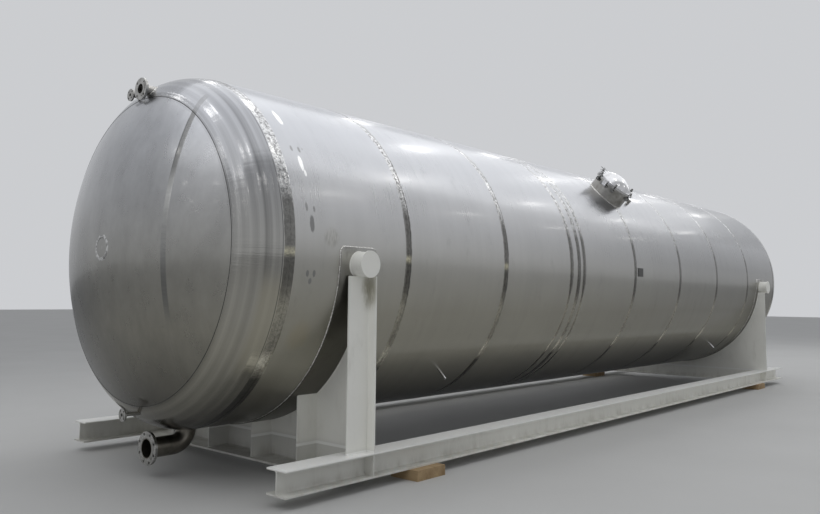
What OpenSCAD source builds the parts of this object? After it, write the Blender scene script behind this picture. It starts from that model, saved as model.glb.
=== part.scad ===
/* [Vessel] */
// Outside diameter of the shell, mm
shell_d = 3050; // [2400:10:3600]
// Plate thickness of the shell, mm
shell_t = 12; // [8:1:20]
// Length of the short course behind the front end, mm
first_course = 1310; // [1200:5:1600]
// Length of each of the seven other courses, mm
course = 1515; // [1400:5:1700]
// Depth of a dished end from its seam to its apex, mm
head_depth = 724; // [660:2:780]
// Knuckle radius of a dished end, mm
knuckle = 442; // [400:2:480]
// Plate thickness of a dished end, mm
head_t = 14; // [10:1:20]
// Radius of the round patch plate at the front apex, mm
patch_r = 92; // [70:2:150]

/* [Welds] */
// Width of a weld bead round the shell, mm
seam_w = 44; // [24:2:60]
// Height of a weld bead above the plate, mm
seam_h = 2; // [1:0.5:3]
// Width of the bead round a crown plate, mm
crown_bead_w = 16; // [10:1:30]
// Width of the bead round the patch plate, mm
patch_bead_w = 30; // [16:1:40]
// Distance of the lesser bead before the third seam, mm
twin_gap = 172; // [120:2:300]
// Distance of the lesser bead behind the third seam, mm
twin_step = 128; // [100:2:300]
// Distance of the bead across the front crown from its middle, mm
chord_y = 750; // [600:2:850]
// Width of the bead across the front crown, mm
chord_w = 56; // [30:2:70]

/* [Stand] */
// Distance of the front saddle behind the front seam, mm
saddle_front = 687.5; // [600:2.5:800]
// Distance of the rear saddle before the rear seam, mm
saddle_rear = 827.5; // [740:2.5:920]
// Thickness of the wear plates, ribs and saddle webs, mm
plate_t = 12; // [8:1:16]
// Width of a wear plate along the vessel, mm
wear_w = 400; // [340:10:480]
// Corner radius of a wear plate, mm
wear_corner = 45; // [20:5:80]
// Height of a wear plate's top edge above the axis, mm
wear_top = 22; // [10:1:40]
// Length of a saddle rib along the vessel, mm
rib_l = 220; // [180:5:260]
// Step from the trunnion's centre to the saddle web, mm
web_step = 96; // [70:2:120]
// Distance from the middle to the middle ribs, mm
rib_mid = 945; // [800:5:1050]
// Distance from the middle to the inner ribs, mm
rib_in = 330; // [250:5:400]
// Width of a saddle's base plate along the vessel, mm
base_w = 310; // [280:5:360]
// Thickness of a saddle's base plate, mm
base_t = 16; // [12:1:20]

/* [Trunnions] */
// Outside radius of a trunnion pipe, mm
trunnion_r = 101.5; // [90:0.5:108]
// Wall of a trunnion pipe, mm
trunnion_wall = 10; // [6:1:16]
// Step of a trunnion's cap plate beyond its pipe, mm
cap_rim = 8; // [4:1:14]
// Distance from the shell's side out to a cap's face, mm
trunnion_out = 143; // [110:1:200]
// Drop of a trunnion's centre below the axis, mm
trunnion_drop = 115; // [105:1:130]

/* [Rails] */
// How far the rails run past the trunnions, mm
rail_past = 800; // [600:10:1000]
// Step from an outer rib in to the web of its rail, mm
rail_step = 19; // [12:1:40]
// Clear height from the shell's bottom line down to the rails, mm
rail_gap = 99; // [80:1:160]
// Height of the rail section, mm
rail_h = 195; // [180:1:220]
// Width of the rail flanges, mm
rail_b = 220; // [200:2:240]
// Thickness of the rail flanges, mm
rail_tf = 14; // [10:1:18]
// Thickness of the rail web, mm
rail_tw = 9; // [7:1:12]
// Radius of the rail section's root fillets, mm
rail_root = 16; // [8:1:20]

/* [Blocks] */
// Height of a timber block, mm
block_h = 88; // [70:1:120]
// Length of a timber block along the rail, mm
block_l = 364; // [250:2:450]
// Width of a timber block across the rail, mm
block_w = 300; // [250:10:360]
// How far a block shows outside its rail, mm
block_out = 90; // [60:2:160]
// How far the near rear block shows outside its rail, mm
near_out = 34; // [20:2:160]
// Position of the front blocks behind the front trunnions, mm
block_front = 712; // [500:2:800]
// Position of the rear blocks before the rear trunnions, mm
block_rear = 537; // [300:1:700]

/* [Vent] */
// Outside radius of the vent pipe, mm
vent_r = 44.45; // [38:0.05:50]
// Wall of the vent pipe, mm
vent_wall = 3.05; // [2:0.05:8]
// Depth of the vent pipe below the shell's top line, mm
vent_low = 153; // [130:1:200]
// Reach of the vent flange before the front seam, mm
vent_reach = 440; // [420:2:500]
// Outside radius of the vent flange, mm
vent_flange_r = 95.25; // [90:0.05:100]
// Thickness of the vent flange, mm
vent_flange_t = 24; // [16:1:30]
// Diameter of the vent flange's circle of holes, mm
vent_pcd = 152.4; // [146:0.1:160]
// Radius of the vent flange's holes, mm
vent_hole_r = 9.5; // [7:0.5:11]

/* [Small nozzles] */
// Outside radius of the small pipes, mm
small_r = 16.7; // [14:0.1:20]
// Wall of the small pipes, mm
small_wall = 3.4; // [2:0.1:5]
// Offset of the small vent pipe to the far side, mm
small_y = 198; // [180:2:230]
// Depth of the small vent pipe below the shell's top line, mm
small_low = 169; // [140:1:200]
// Reach of the small vent flange before the front seam, mm
small_reach = 424; // [410:2:480]
// Height of the gauge pipe above the shell's bottom line, mm
gauge_up = 166; // [140:1:200]
// Reach of the gauge flange before the front seam, mm
gauge_reach = 494; // [450:2:540]
// Outside radius of the small flanges, mm
small_flange_r = 54; // [50:1:60]
// Thickness of the small flanges, mm
small_flange_t = 16; // [12:1:20]
// Diameter of a small flange's circle of holes, mm
small_pcd = 79.4; // [75:0.1:88]
// Radius of a small flange's holes, mm
small_hole_r = 7.95; // [6:0.05:9]

/* [Drain] */
// Outside radius of the drain pipe, mm
drain_r = 84.15; // [78:0.05:86]
// Wall of the drain pipe, mm
drain_wall = 7.1; // [5:0.1:10]
// Clear step from the front seam's bead back to the drain pipe, mm
drain_gap = 2; // [1:0.5:30]
// Depth of the drain pipe's axis below the shell's bottom line, mm
drain_low = 135; // [120:1:160]
// Reach of the drain flange before the front seam, mm
drain_reach = 264; // [240:2:320]
// Outside radius of the drain flange, mm
drain_flange_r = 139.7; // [134:0.1:150]
// Thickness of the drain flange, mm
drain_flange_t = 25.4; // [20:0.1:32]
// Diameter of the drain flange's circle of holes, mm
drain_pcd = 241.3; // [236:0.1:250]
// Radius of the drain flange's holes, mm
drain_hole_r = 11.1; // [9:0.1:12]

/* [Manway] */
// Outside radius of the manway neck, mm
neck_r = 254; // [220:0.5:270]
// Wall of the manway neck, mm
neck_t = 10; // [8:1:14]
// Step from the fourth seam back to the manway's axis, mm
manway_step = 72; // [40:1:120]
// Angle of the manway above the horizontal, degrees
manway_angle = 45; // [38:1:50]
// Distance from the shell out to the manway flange's face, mm
manway_out = 190; // [170:1:240]
// Step from the neck out to the rim of the flange and the cover, mm
rim_step = 16; // [12:1:20]
// Thickness of the manway flange, mm
flange_t = 26; // [20:1:32]
// Thickness of the manway cover's rim, mm
cover_t = 26; // [20:1:32]
// Rise of the cover's dished middle, mm
dome_h = 95; // [60:1:120]
// Plate thickness of the cover's dished middle, mm
dome_t = 12; // [8:1:16]
// Step from the neck out to the circle of swing bolts, mm
bolt_step = 22; // [20:0.5:34]
// Radius of a swing bolt's shaft, mm
bolt_r = 10; // [8:0.5:12]
// Radius of a swing bolt's pin, mm
pin_r = 7; // [5:0.5:8]
// Width of the cover's tab round a swing bolt, mm
tab_w = 52; // [48:2:70]
// Width of the cover's hinge leaf, mm
leaf_w = 60; // [40:2:80]
// Radius of the hinge pin, mm
hinge_r = 9; // [7:0.5:10]
// Length of the hinge pin, mm
hinge_l = 124; // [110:2:150]
// Height of the cover's handle, mm
handle_h = 50; // [48:1:80]
// Length of the cover's handle, mm
handle_w = 90; // [70:2:110]

/* [Small fittings] */
// Position of the coupling behind the manway's seam, mm
coupling_x = 567; // [400:1:700]
// Angle of the coupling above the horizontal, degrees
coupling_angle = 41; // [30:1:50]
// Outside radius of the coupling, mm
coupling_r = 21; // [17:1:30]
// Radius of the coupling's bore, mm
coupling_bore = 14; // [8:0.5:15]
// Height of the coupling above the shell, mm
coupling_h = 55; // [45:1:80]
// Position of the bare plate behind the manway's seam, mm
mark_x = 75; // [60:1:120]
// Width of the bare plate, mm
mark_w = 146; // [100:2:200]
// Height of the bare plate, mm
mark_h = 113; // [80:1:160]
// Thickness of the bare plate, mm
mark_t = 6; // [4:1:10]
// Position of the front rod behind the second seam, mm
rod_front = 958; // [700:1:1200]
// Position of the rear rod behind the seventh seam, mm
rod_rear = 759; // [500:1:1200]
// Radius of the underside rods, mm
rod_r = 12; // [6:0.5:16]
// Length of the underside rods, mm
rod_l = 136; // [100:2:160]

/* [Hidden] */
$fn = 96;
courses = 8;
bolts = 6;
shell_r = shell_d / 2;
inner_r = shell_r - shell_t;
shell_l = first_course + (courses - 1) * course;
front_seam = -shell_l / 2;
rear_seam = shell_l / 2;
// The crown sphere is tangent to the knuckle, and the knuckle to the shell
knuckle_c = shell_r - knuckle;
crown_rise = head_depth - knuckle;
crown_arm = (knuckle_c * knuckle_c + crown_rise * crown_rise) / (2 * crown_rise);
crown_r = crown_arm + knuckle;
crown_angle = asin(knuckle_c / crown_arm);
crown_c = head_depth - crown_r;
joint_r = crown_r * sin(crown_angle);
wear_r = shell_r + plate_t;
rib_gap = 1;
rib_out = wear_r + rib_gap + plate_t / 2;
rail_y = rib_out - rail_step;
rail_drop = shell_r + rail_gap;
rail_low = rail_drop + rail_h;
rail_edge = rail_y + rail_b / 2;
rail_inner = rail_y - rail_b / 2;
rail_l = saddle_x(1) - saddle_x(-1) + 2 * rail_past;
stiff_in = 3;
axis_h = rail_low + block_h;
trunnion_reach = shell_r + trunnion_out;
cap_r = trunnion_r + cap_rim;
post_lap = 6;
post_top = -trunnion_drop - trunnion_r + post_lap;
// The pipes through a plate end this far inside it
pipe_in = 10;
pipe_start = 250;
face_h = 2;
vent_z = shell_r - vent_low;
small_z = shell_r - small_low;
gauge_z = gauge_up - shell_r;
drain_z = shell_r + drain_low;
drain_x = seam_w / 2 + drain_gap + drain_r;
elbow_r = drain_low - 5;
drain_in = inner_r - sqrt(inner_r * inner_r - drain_r * drain_r) + pipe_in;
neck_in = inner_r - sqrt(inner_r * inner_r - neck_r * neck_r) + pipe_in / 2;
manway_reach = shell_r + manway_out;
bolt_circle = neck_r + bolt_step;
cover_r = neck_r + rim_step;
tab_out = 24;
slot_r = bolt_r + 2;
dome_r = neck_r - 12;
rim_mid = (dome_r + cover_r) / 2;
ball_r = (dome_r * dome_r + dome_h * dome_h) / (2 * dome_h);
ear_step = 18;
ear_t = 10;
ear_h = 44;
ear_out = bolt_circle + 2.8 * pin_r;
eye_r = 2.4 * pin_r;
hinge_gap = 3;
leaf_eye = 18;

function seam_x(i) = i == 0 ? front_seam : front_seam + first_course + (i - 1) * course;
function saddle_x(s) = s < 0 ? front_seam + saddle_front : rear_seam - saddle_rear;

// Everything is stated from the vessel's axis, which lies axis_h above the floor
module on_axis() {
    translate([0, 0, axis_h]) children();
}

module along_x(x0, x1, r, fn = 96) {
    translate([x0, 0, 0]) rotate([0, 90, 0]) cylinder(r = r, h = x1 - x0, $fn = fn);
}

module across_y(x, z, r, y0, y1, fn = 64) {
    translate([x, y0, z]) rotate([-90, 0, 0]) cylinder(r = r, h = y1 - y0, $fn = fn);
}

// The manway's own frame, with +Z along its neck
module manway_frame() {
    translate([seam_x(4) + manway_step, 0, 0]) rotate([90 - manway_angle, 0, 0]) children();
}

module shell_course(i) {
    color([0.72, 0.72, 0.71]) on_axis() difference() {
        along_x(seam_x(i - 1), seam_x(i), shell_r);
        along_x(seam_x(i - 1) - 5, seam_x(i) + 5, inner_r);
        if (i == 1) {
            translate([seam_x(0) + drain_x, 0, -shell_r - 20])
                cylinder(r = drain_r, h = drain_in + shell_t + 40, $fn = 48);
        }
        if (i == 4 || i == 5) {
            manway_frame() translate([0, 0, inner_r - 2 * neck_in])
                cylinder(r = neck_r, h = 2 * neck_in + shell_t + 50, $fn = 64);
        }
    }
}

// The dished end's filled half section in two parts, r along X and outwards along Y
module crown_fill() {
    intersection() {
        translate([0, crown_c]) circle(r = crown_r, $fn = 720);
        polygon([[0, crown_c], [0, crown_c + 2 * crown_r],
            [2 * crown_r * sin(crown_angle), crown_c + 2 * crown_r * cos(crown_angle)]]);
    }
}

module knuckle_fill() {
    intersection() {
        translate([knuckle_c, 0]) circle(r = knuckle, $fn = 360);
        polygon([[knuckle_c, 0], [knuckle_c + 2 * knuckle * sin(crown_angle), 2 * knuckle * cos(crown_angle)],
            [knuckle_c + 2 * knuckle, 2 * knuckle * cos(crown_angle)], [knuckle_c + 2 * knuckle, 0]]);
    }
}

module crown_section(r0) {
    difference() {
        crown_fill();
        translate([0, crown_c]) circle(r = crown_r - head_t, $fn = 720);
        if (r0 > 0) {
            translate([-1, 0]) square([r0 + 1, head_depth + 50]);
        }
    }
}

module knuckle_section() {
    difference() {
        knuckle_fill();
        translate([knuckle_c, 0]) circle(r = knuckle - head_t, $fn = 360);
    }
}

// A dished end's own frame, with +Z outwards from its seam
module at_head(s) {
    on_axis() translate([s * shell_l / 2, 0, 0]) rotate([0, s * 90, 0]) children();
}

// A pipe through the front knuckle, from its flange to its inner end
module end_pipe(reach, y, z, r, fn = 48) {
    on_axis() translate([0, y, z]) along_x(front_seam - reach, front_seam - pipe_start, r, fn);
}

module front_knuckle() {
    color([0.70, 0.70, 0.70]) difference() {
        at_head(-1) rotate_extrude($fn = 72) knuckle_section();
        end_pipe(vent_reach, 0, vent_z, vent_r);
        end_pipe(small_reach, small_y, small_z, small_r);
        end_pipe(gauge_reach, 0, gauge_z, small_r);
    }
}

module front_crown() {
    color([0.70, 0.70, 0.70]) at_head(-1) rotate_extrude($fn = 72) crown_section(patch_r);
}

module crown_patch() {
    color([0.66, 0.66, 0.65]) at_head(-1) intersection() {
        rotate_extrude($fn = 72) crown_section(0);
        translate([0, 0, head_depth - 100]) cylinder(r = patch_r, h = 150, $fn = 72);
    }
}

module rear_knuckle() {
    color([0.70, 0.70, 0.70]) at_head(1) rotate_extrude($fn = 72) knuckle_section();
}

module rear_crown() {
    color([0.70, 0.70, 0.70]) at_head(1) rotate_extrude($fn = 72) crown_section(0);
}

// Section of a weld bead w wide, ground to a flat top seam_h above the plate at y = 0
module bead_section(w) {
    polygon([[-w / 2, 0], [w / 2, 0], [w / 4, seam_h], [-w / 4, seam_h]]);
}

module shell_bead(x) {
    translate([x, 0, 0]) rotate([0, 90, 0]) rotate_extrude($fn = 96)
        translate([shell_r, 0]) rotate(-90) bead_section(seam_w);
}

module shell_seams() {
    color([0.80, 0.79, 0.76]) on_axis() difference() {
        union() {
            for (i = [1 : courses - 1]) {
                shell_bead(seam_x(i));
            }
            shell_bead(seam_x(3) - twin_gap);
            shell_bead(seam_x(3) + twin_step);
        }
        manway_frame() cylinder(r = neck_r, h = manway_reach, $fn = 64);
    }
}

// A bead w wide on a dished end, in a circle of radius r round its middle
module ring_bead(r, w) {
    a = asin(r / crown_r);
    rotate_extrude($fn = 96) translate([r, crown_c + crown_r * cos(a)]) rotate(-a) bead_section(w);
}

// The front crown is welded from two plates, with a straight bead across it inside the ring
module chord_bead() {
    tilt = asin(chord_y / crown_r);
    arm = crown_r * cos(tilt);
    end_r = joint_r - crown_bead_w - chord_w / 2;
    half = asin(sqrt(end_r * end_r - chord_y * chord_y) / arm);
    translate([0, 0, crown_c]) rotate([-90, 0, 0]) rotate([0, 0, 270 - half])
        rotate_extrude(angle = 2 * half, $fn = 180)
        translate([arm, -chord_y]) rotate(-90 - tilt) bead_section(chord_w);
}

// Beads where the ends meet the shell, round the crowns, and on the front crown
module head_seams() {
    color([0.80, 0.79, 0.76]) {
        on_axis() shell_bead(front_seam);
        on_axis() shell_bead(rear_seam);
        at_head(-1) ring_bead(joint_r, crown_bead_w);
        at_head(1) ring_bead(joint_r, crown_bead_w);
        at_head(-1) ring_bead(patch_r, patch_bead_w);
        at_head(-1) chord_bead();
    }
}

// Outline of a wear plate seen from the side, with its two top corners rounded
module wear_outline() {
    translate([-wear_w / 2, -shell_r - 100]) square([wear_w, shell_r + 100 + wear_top - wear_corner]);
    translate([wear_corner - wear_w / 2, -shell_r]) square([wear_w - 2 * wear_corner, shell_r + wear_top]);
    for (m = [-1, 1]) {
        translate([m * (wear_w / 2 - wear_corner), wear_top - wear_corner]) circle(r = wear_corner, $fn = 48);
    }
}

module wear_plates() {
    color([0.66, 0.66, 0.64]) on_axis() for (s = [-1, 1]) {
        intersection() {
            difference() {
                along_x(saddle_x(s) - wear_w, saddle_x(s) + wear_w, wear_r);
                along_x(saddle_x(s) - wear_w - 5, saddle_x(s) + wear_w + 5, shell_r);
            }
            translate([saddle_x(s), shell_r + 100, 0]) rotate([90, 0, 0])
                linear_extrude(height = 2 * shell_r + 200) wear_outline();
        }
    }
}

// The web stands on the base plate between the rails and on the rails' top flanges
module saddle_web(s) {
    x0 = saddle_x(s) - s * web_step - (s > 0 ? plate_t : 0);
    color([0.86, 0.86, 0.83]) on_axis() translate([x0, 0, 0]) rotate([90, 0, 90])
        linear_extrude(height = plate_t) difference() {
            polygon([[-rail_edge, -rail_drop], [-rail_edge, post_top], [rail_edge, post_top],
                [rail_edge, -rail_drop], [rail_inner, -rail_drop], [rail_inner, base_t - rail_low],
                [-rail_inner, base_t - rail_low], [-rail_inner, -rail_drop]]);
            circle(r = wear_r, $fn = 192);
        }
}

module rib(x0, y, z0, z1) {
    translate([x0, y - plate_t / 2, z0]) cube([rib_l, plate_t, z1 - z0]);
}

module saddle_ribs(s) {
    x0 = s < 0 ? saddle_x(s) + web_step - rib_l : saddle_x(s) - web_step;
    color([0.86, 0.86, 0.83]) on_axis() difference() {
        for (m = [-1, 1]) {
            rib(x0, m * rib_out, -rail_drop, post_top);
            rib(x0, m * rib_mid, base_t - rail_low, -shell_r / 3);
            rib(x0, m * rib_in, base_t - rail_low, -shell_r / 3);
        }
        along_x(x0 - 50, x0 + rib_l + 50, wear_r, 192);
        across_y(saddle_x(s), -trunnion_drop, trunnion_r, -trunnion_reach, trunnion_reach);
    }
}

module saddle_base(s) {
    color([0.84, 0.84, 0.81]) on_axis()
        translate([saddle_x(s) - base_w / 2, -rail_inner, -rail_low]) cube([base_w, 2 * rail_inner, base_t]);
}

module trunnion_pipes() {
    color([0.88, 0.88, 0.86]) on_axis() for (s = [-1, 1]) {
        difference() {
            across_y(saddle_x(s), -trunnion_drop, trunnion_r, plate_t - trunnion_reach, trunnion_reach - plate_t);
            across_y(saddle_x(s), -trunnion_drop, trunnion_r - trunnion_wall, -trunnion_reach, trunnion_reach);
            along_x(saddle_x(s) - wear_w, saddle_x(s) + wear_w, wear_r, 192);
        }
    }
}

module trunnion_caps() {
    color([0.88, 0.88, 0.86]) on_axis() for (s = [-1, 1]) {
        across_y(saddle_x(s), -trunnion_drop, cap_r, -trunnion_reach, plate_t - trunnion_reach);
        across_y(saddle_x(s), -trunnion_drop, cap_r, trunnion_reach - plate_t, trunnion_reach);
    }
}

// The rolled section's fillet where the web runs into a flange
module root(m, n) {
    translate([m * rail_tw / 2, n > 0 ? rail_h - rail_tf : rail_tf]) difference() {
        translate([m > 0 ? -1 : -rail_root, n > 0 ? -rail_root : -1]) square(rail_root + 1);
        translate([m * rail_root, -n * rail_root]) circle(r = rail_root, $fn = 48);
    }
}

module rail(m) {
    color([0.86, 0.86, 0.83]) on_axis() translate([saddle_x(-1) - rail_past, m * rail_y, -rail_low])
        rotate([90, 0, 90]) linear_extrude(height = rail_l) {
            translate([-rail_b / 2, 0]) square([rail_b, rail_tf]);
            translate([-rail_b / 2, rail_h - rail_tf]) square([rail_b, rail_tf]);
            translate([-rail_tw / 2, rail_tf / 2]) square([rail_tw, rail_h - rail_tf]);
            for (p = [-1, 1], n = [-1, 1]) {
                root(p, n);
            }
        }
}

// A plate between the flanges under each web, its inner corners cut clear of the fillets
module rail_stiffeners() {
    wide = (rail_b - rail_tw) / 2;
    high = rail_h - 2 * rail_tf;
    clip = 1.5 * rail_root;
    color([0.86, 0.86, 0.83]) on_axis() for (s = [-1, 1], m = [-1, 1]) {
        x0 = saddle_x(s) - s * web_step - (s > 0 ? plate_t : 0);
        translate([x0, m * rail_y + rail_tw / 2 - (m < 0 ? rail_tw : 0), rail_tf - rail_low])
            rotate([90, 0, 90]) linear_extrude(height = plate_t)
            polygon([[m * clip, 0], [m * (wide - stiff_in), 0], [m * (wide - stiff_in), high],
                [m * clip, high], [0, high - clip], [0, clip]]);
    }
}

module block(x, m, out) {
    y0 = m > 0 ? rail_edge + out - block_w : -rail_edge - out;
    translate([x - block_l / 2, y0, 0]) cube([block_l, block_w, block_h]);
}

module timber_blocks() {
    color([0.74, 0.60, 0.38]) {
        block(saddle_x(-1) + block_front, -1, block_out);
        block(saddle_x(-1) + block_front, 1, block_out);
        block(saddle_x(1) - block_rear, -1, near_out);
        block(saddle_x(1) - block_rear, 1, block_out);
    }
}

// A slip on flange facing the front, its raised face at the stated reach
module flange_x(reach, y, z, bore, r, t, pcd, holes, hole_r) {
    on_axis() translate([front_seam - reach, y, z]) difference() {
        union() {
            along_x(face_h, t, r, 64);
            along_x(0, t, pcd / 2 - hole_r - 1.2 * face_h, 64);
        }
        along_x(-5, t + 5, bore, 48);
        for (k = [0 : holes - 1]) {
            rotate([180 / holes + 360 / holes * k, 0, 0]) translate([0, 0, pcd / 2])
                along_x(-5, t + 5, hole_r, 24);
        }
    }
}

module vent_pipe() {
    color([0.62, 0.62, 0.62]) difference() {
        end_pipe(vent_reach, 0, vent_z, vent_r);
        end_pipe(vent_reach + 5, 0, vent_z, vent_r - vent_wall);
    }
}

module vent_flange() {
    color([0.55, 0.55, 0.55])
        flange_x(vent_reach, 0, vent_z, vent_r, vent_flange_r, vent_flange_t, vent_pcd, 4, vent_hole_r);
}

module small_pipes() {
    color([0.62, 0.62, 0.62]) difference() {
        union() {
            end_pipe(small_reach, small_y, small_z, small_r);
            end_pipe(gauge_reach, 0, gauge_z, small_r);
        }
        end_pipe(small_reach + 5, small_y, small_z, small_r - small_wall);
        end_pipe(gauge_reach + 5, 0, gauge_z, small_r - small_wall);
    }
}

module small_flanges() {
    color([0.55, 0.55, 0.55]) {
        flange_x(small_reach, small_y, small_z, small_r, small_flange_r, small_flange_t, small_pcd, 4, small_hole_r);
        flange_x(gauge_reach, 0, gauge_z, small_r, small_flange_r, small_flange_t, small_pcd, 4, small_hole_r);
    }
}

module drain_pipe() {
    color([0.60, 0.60, 0.60]) on_axis() translate([0, 0, -drain_z]) difference() {
        along_x(front_seam - drain_reach, front_seam + drain_x - elbow_r, drain_r, 48);
        along_x(front_seam - drain_reach - 5, front_seam + drain_x - elbow_r + 5, drain_r - drain_wall, 48);
    }
}

module drain_elbow() {
    color([0.60, 0.60, 0.60]) on_axis()
        translate([front_seam + drain_x - elbow_r, 0, elbow_r - drain_z]) rotate([90, 0, 0])
        rotate([0, 0, -90]) rotate_extrude(angle = 90, $fn = 64) translate([elbow_r, 0]) difference() {
            circle(r = drain_r, $fn = 48);
            circle(r = drain_r - drain_wall, $fn = 48);
        }
}

module drain_stub() {
    h = drain_z - elbow_r - inner_r + drain_in;
    color([0.60, 0.60, 0.60]) on_axis()
        translate([front_seam + drain_x, 0, elbow_r - drain_z]) difference() {
            cylinder(r = drain_r, h = h, $fn = 48);
            translate([0, 0, -5]) cylinder(r = drain_r - drain_wall, h = h + 10, $fn = 48);
        }
}

module drain_flange() {
    color([0.55, 0.55, 0.55])
        flange_x(drain_reach, 0, -drain_z, drain_r, drain_flange_r, drain_flange_t, drain_pcd, 8, drain_hole_r);
}

module manway_neck() {
    h = manway_reach - inner_r + neck_in;
    color([0.64, 0.64, 0.63]) on_axis() manway_frame() translate([0, 0, inner_r - neck_in]) difference() {
        cylinder(r = neck_r, h = h, $fn = 64);
        translate([0, 0, -5]) cylinder(r = neck_r - neck_t, h = h + 10, $fn = 64);
    }
}

// Outline of the open slots for the swing bolts
module bolt_slots() {
    for (k = [0 : bolts - 1]) {
        rotate(360 / bolts * (k + 0.5)) translate([bolt_circle, 0]) {
            circle(r = slot_r, $fn = 32);
            translate([0, -slot_r]) square([60, 2 * slot_r]);
        }
    }
}

module manway_flange() {
    color([0.70, 0.70, 0.70]) on_axis() manway_frame() translate([0, 0, manway_reach - flange_t])
        linear_extrude(height = flange_t) difference() {
            circle(r = cover_r, $fn = 64);
            circle(r = neck_r, $fn = 64);
            bolt_slots();
        }
}

// The cover's rim with a tab round each slot and a leaf towards the hinge
module cover_outline() {
    difference() {
        union() {
            circle(r = cover_r, $fn = 64);
            for (k = [0 : bolts - 1]) {
                rotate(360 / bolts * (k + 0.5)) translate([rim_mid, -tab_w / 2])
                    square([bolt_circle + tab_out - rim_mid, tab_w]);
            }
            translate([-bolt_circle - leaf_eye, -leaf_w / 2]) square([bolt_circle + leaf_eye - rim_mid, leaf_w]);
        }
        bolt_slots();
    }
}

// Filled half section of the cover's dished middle above the rim's top, or of its hollow
module dome_section(step, low) {
    intersection() {
        translate([0, dome_h - ball_r]) circle(r = ball_r - step, $fn = 192);
        translate([0, -low]) square([dome_r - step, low + dome_h + 5]);
    }
}

module manway_cover() {
    color([0.78, 0.78, 0.78]) on_axis() manway_frame() translate([0, 0, manway_reach]) difference() {
        union() {
            linear_extrude(height = cover_t) cover_outline();
            translate([0, 0, cover_t]) rotate_extrude($fn = 64) dome_section(0, 0);
            translate([-bolt_circle - leaf_eye, -leaf_w / 2, -flange_t - ear_h / 2])
                cube([bolt_circle + leaf_eye - cover_r - hinge_gap, leaf_w, flange_t + ear_h / 2 + cover_t]);
            translate([-bolt_circle, -leaf_w / 2, -flange_t - ear_h / 2]) rotate([-90, 0, 0])
                cylinder(r = leaf_eye, h = leaf_w, $fn = 32);
        }
        translate([0, 0, cover_t]) rotate_extrude($fn = 64) dome_section(dome_t, cover_t + 5);
        translate([-bolt_circle, -leaf_w, -flange_t - ear_h / 2]) rotate([-90, 0, 0])
            cylinder(r = hinge_r + 0.5, h = 2 * leaf_w, $fn = 32);
    }
}

// A pair of ears on the neck under the flange, bored for a pin of radius r
module ears(step, r) {
    for (m = [-1, 1]) {
        translate([0, 0, manway_reach - flange_t - ear_h]) difference() {
            translate([neck_r - 5, m * step - ear_t / 2, 0]) cube([ear_out + 5 - neck_r, ear_t, ear_h]);
            translate([bolt_circle, -step - ear_t, ear_h / 2]) rotate([-90, 0, 0])
                cylinder(r = r, h = 2 * (step + ear_t), $fn = 32);
            translate([0, 0, -5]) cylinder(r = neck_r, h = ear_h + 10, $fn = 64);
        }
    }
}

// A pair of ears for each swing bolt, and a wider pair for the cover's hinge pin
module manway_lugs() {
    color([0.50, 0.50, 0.50]) on_axis() manway_frame() {
        for (k = [0 : bolts - 1]) {
            rotate([0, 0, 360 / bolts * (k + 0.5)]) ears(ear_step, pin_r);
        }
        rotate([0, 0, 180]) ears(leaf_w / 2 + hinge_gap + ear_t / 2, hinge_r);
    }
}

// The swing bolts with their pins, eyes, washers and nuts, and the hinge pin
module swing_bolts() {
    nut_z = flange_t + cover_t + ear_h / 2;
    pin_l = 2 * ear_step + ear_t + 6;
    color([0.42, 0.42, 0.42]) on_axis() manway_frame() translate([0, 0, manway_reach - flange_t - ear_h / 2]) {
        for (k = [0 : bolts - 1]) {
            rotate([0, 0, 360 / bolts * (k + 0.5)]) translate([bolt_circle, 0, 0]) {
                translate([0, -pin_l / 2, 0]) rotate([-90, 0, 0]) cylinder(r = pin_r, h = pin_l, $fn = 32);
                translate([0, -1.1 * bolt_r, 0]) rotate([-90, 0, 0]) cylinder(r = eye_r, h = 2.2 * bolt_r, $fn = 32);
                cylinder(r = bolt_r, h = nut_z + 3.6 * bolt_r, $fn = 32);
                translate([0, 0, nut_z]) cylinder(r = 2.2 * bolt_r, h = bolt_r / 2, $fn = 32);
                translate([0, 0, nut_z + bolt_r / 2]) cylinder(r = 1.7 * bolt_r, h = 2 * bolt_r, $fn = 6);
            }
        }
        translate([-bolt_circle, -hinge_l / 2, 0]) rotate([-90, 0, 0])
            cylinder(r = hinge_r, h = hinge_l, $fn = 32);
    }
}

// A post on the cover's rim with a bar across its top
module cover_handle() {
    color([0.75, 0.75, 0.75]) on_axis() manway_frame() rotate([0, 0, 120])
        translate([rim_mid, 0, manway_reach + cover_t]) {
            cylinder(r = pin_r, h = handle_h, $fn = 32);
            translate([-handle_w / 2, 0, handle_h]) rotate([0, 90, 0])
                cylinder(r = pin_r, h = handle_w, $fn = 32);
        }
}

module top_coupling() {
    color([0.60, 0.60, 0.60]) on_axis() translate([seam_x(4) + coupling_x, 0, 0])
        rotate([90 - coupling_angle, 0, 0]) difference() {
            translate([0, 0, shell_r - 1]) cylinder(r = coupling_r, h = coupling_h + 1, $fn = 48);
            translate([0, 0, shell_r + coupling_h - 40]) cylinder(r = coupling_bore, h = 60, $fn = 48);
            along_x(-100, 100, shell_r, 360);
        }
}

// A plain plate curved to the shell, with nothing on it
module bare_plate() {
    color([0.30, 0.30, 0.29]) on_axis() intersection() {
        difference() {
            along_x(seam_x(4) + mark_x, seam_x(4) + mark_x + mark_w, shell_r + mark_t, 360);
            along_x(seam_x(4), seam_x(5), shell_r, 360);
        }
        translate([seam_x(4), -shell_r - 2 * mark_t, -0.55 * mark_h]) cube([course, shell_r, mark_h]);
    }
}

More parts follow.
